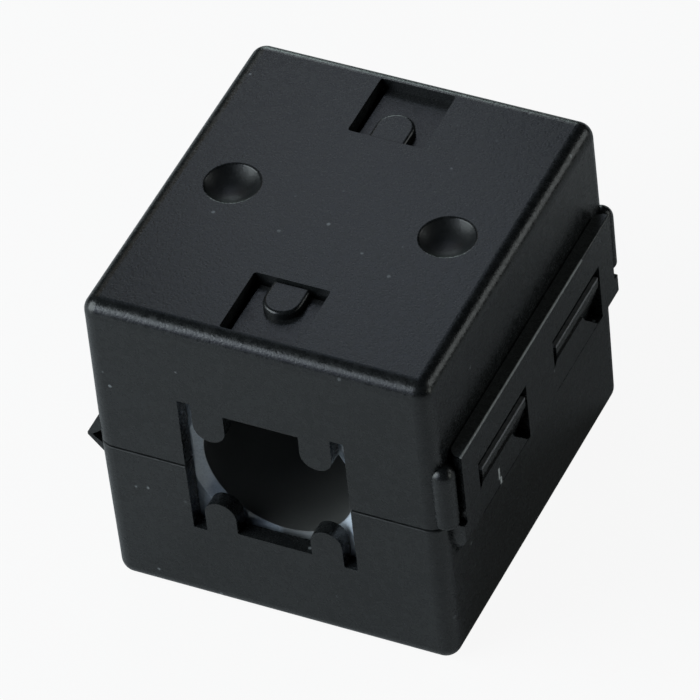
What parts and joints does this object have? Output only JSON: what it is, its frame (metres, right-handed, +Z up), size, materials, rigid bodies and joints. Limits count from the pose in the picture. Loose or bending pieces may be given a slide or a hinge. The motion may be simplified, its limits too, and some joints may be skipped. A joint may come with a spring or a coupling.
{
  "type": "ferrite core",
  "caption": "Hinged clip-on case, roughly a cube, that latches shut around a split ferrite core on a round cable.",
  "frame": {"origin": "centre of the bottom face of the closed case", "axes": "+X towards the latch, +Y along the cable, +Z up from the bottom face to the lid"},
  "size_m": [0.0325, 0.033, 0.03],
  "materials": {
    "black_nylon": "fine matt moulded nylon",
    "ferrite": "sintered ferrite, satin grey"
  },
  "bodies": {
    "base": {"case_base": "black_nylon", "core_base": "ferrite", "latch_strap": "black_nylon", "hinge_web": "black_nylon"},
    "lid": {"case_lid": "black_nylon", "core_lid": "ferrite"}
  },
  "joints": [
    {"name": "lid_hinge", "type": "hinge", "parent": "base", "child": "lid", "pos_m": [-0.016, 0, 0.01493], "axis": [0, -1, 0], "range_deg": [0, 170], "deforming": ["latch_strap", "hinge_web"]}
  ]
}
